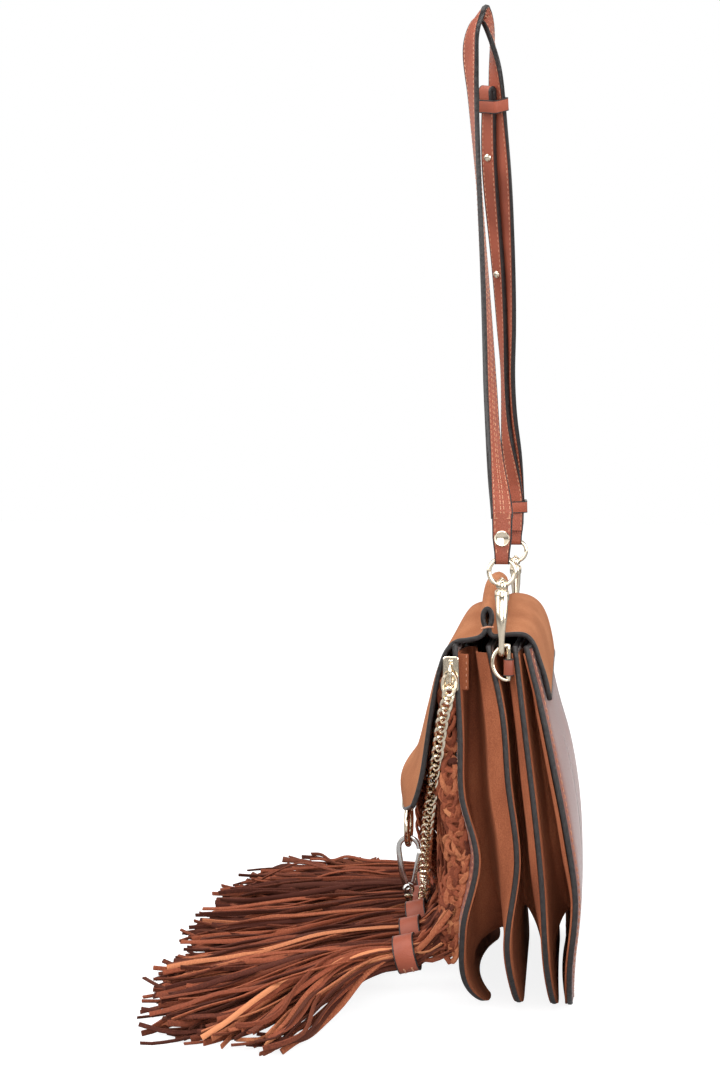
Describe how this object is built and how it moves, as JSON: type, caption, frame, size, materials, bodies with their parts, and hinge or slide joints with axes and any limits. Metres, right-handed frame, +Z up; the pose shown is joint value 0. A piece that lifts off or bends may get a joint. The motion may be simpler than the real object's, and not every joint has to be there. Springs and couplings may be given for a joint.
{
  "type": "fringed suede shoulder bag",
  "caption": "Suede and leather accordion shoulder bag with a pinched flap, crocheted lace front, floor-length tassels, a clip-on curb chain and a strap on snap hooks.",
  "frame": {"origin": "on the table, in the middle of the front divider's bottom rim", "axes": "+Z up, +X towards the bag's right-hand end, -Y towards the fringed front"},
  "size_m": [0.3594, 0.2609, 0.62],
  "materials": {
    "panel_leather": "smooth glossy brown leather with dark painted edges",
    "gusset_suede": "soft suede",
    "lace_suede": "flat suede lace",
    "flap_suede": "napped suede",
    "strap_leather": "smooth stitched leather with dark painted edges",
    "gold_metal": "polished pale gold plating",
    "silver_metal": "polished silver plating"
  },
  "bodies": {
    "bag": {"front_panel": "panel_leather", "front_divider": "panel_leather", "rear_divider": "panel_leather", "back_panel": "panel_leather", "front_gusset": "gusset_suede", "middle_gusset": "gusset_suede", "rear_gusset": "gusset_suede", "crochet_panel": "lace_suede", "fringe_1": "lace_suede", "fringe_2": "lace_suede", "fringe_3": "lace_suede", "fringe_4": "lace_suede", "fringe_5": "lace_suede", "fringe_6": "lace_suede", "tassel_band_1": "strap_leather", "tassel_band_2": "strap_leather", "tassel_band_3": "strap_leather", "tassel_band_4": "strap_leather", "tassel_band_5": "strap_leather", "tassel_band_6": "strap_leather", "chain_plate": "gold_metal", "chain_staple": "gold_metal", "curb_chain": "gold_metal", "flap_anchor": "flap_suede", "d_ring_tab_right": "strap_leather", "d_ring_tab_left": "strap_leather", "eye_right": "gold_metal", "eye_left": "gold_metal", "shoulder_strap": "strap_leather", "strap_extension": "strap_leather", "upper_keeper": "strap_leather", "lower_keeper": "strap_leather", "stud_upper": "gold_metal", "stud_lower": "gold_metal", "end_stud_right": "gold_metal", "end_stud_left": "gold_metal"},
    "flap": {"flap": "flap_suede", "flap_clamp": "gold_metal"},
    "ring": {"flap_ring": "gold_metal"},
    "clip": {"clip_body": "silver_metal", "clip_pin": "silver_metal", "clip_ferrule": "gold_metal"},
    "gate": {"clip_gate": "silver_metal"},
    "swivel": {"clip_swivel": "gold_metal"},
    "d_ring_r": {"d_ring_right": "gold_metal"},
    "d_ring_l": {"d_ring_left": "gold_metal"},
    "hook_r": {"hook_right": "gold_metal"},
    "hook_l": {"hook_left": "gold_metal"},
    "hook_gate_r": {"hook_gate_right": "gold_metal"},
    "hook_gate_l": {"hook_gate_left": "gold_metal"}
  },
  "joints": [
    {"name": "flap_hinge", "type": "hinge", "parent": "bag", "child": "flap", "pos_m": [0, 0.001, 0.2415], "axis": [-1, 0, 0], "range_deg": [0, 70], "deforming": ["curb_chain"]},
    {"name": "ring_swing", "type": "hinge", "parent": "flap", "child": "ring", "pos_m": [0, -0.0755, 0.10427], "axis": [-1, 0, 0], "range_deg": [0, 30]},
    {"name": "clip_swing", "type": "hinge", "parent": "ring", "child": "clip", "pos_m": [0, -0.0755, 0.07827], "axis": [-1, 0, 0], "range_deg": [0, 30]},
    {"name": "clip_gate_turn", "type": "hinge", "parent": "clip", "child": "gate", "pos_m": [0, -0.0755, 0.04817], "axis": [1, 0, 0], "range_deg": [0, 18], "stiffness_Nm_per_rad": 0.02},
    {"name": "clip_swivel_turn", "type": "hinge", "parent": "clip", "child": "swivel", "pos_m": [0, -0.0755, 0.032], "axis": [0, 0, 1], "continuous": true},
    {"name": "d_ring_right_swing", "type": "hinge", "parent": "bag", "child": "d_ring_r", "pos_m": [0.1157, -0.0063, 0.213], "axis": [0, 0, 1], "range_deg": [-5, 5]},
    {"name": "d_ring_left_swing", "type": "hinge", "parent": "bag", "child": "d_ring_l", "pos_m": [-0.1157, -0.0063, 0.213], "axis": [0, 0, 1], "range_deg": [-5, 5]},
    {"name": "hook_right_swivel", "type": "hinge", "parent": "bag", "child": "hook_r", "pos_m": [0.1157, -0.0103, 0.255], "axis": [0, 0, 1], "range_deg": [-15, 15]},
    {"name": "hook_left_swivel", "type": "hinge", "parent": "bag", "child": "hook_l", "pos_m": [-0.1157, -0.0103, 0.255], "axis": [0, 0, 1], "range_deg": [-15, 15]},
    {"name": "hook_right_gate", "type": "hinge", "parent": "hook_r", "child": "hook_gate_r", "pos_m": [0.1127, -0.0103, 0.2477], "axis": [0, -1, 0], "range_deg": [0, 11], "stiffness_Nm_per_rad": 0.02},
    {"name": "hook_left_gate", "type": "hinge", "parent": "hook_l", "child": "hook_gate_l", "pos_m": [-0.1127, -0.0103, 0.2477], "axis": [0, 1, 0], "range_deg": [0, 11], "stiffness_Nm_per_rad": 0.02}
  ]
}
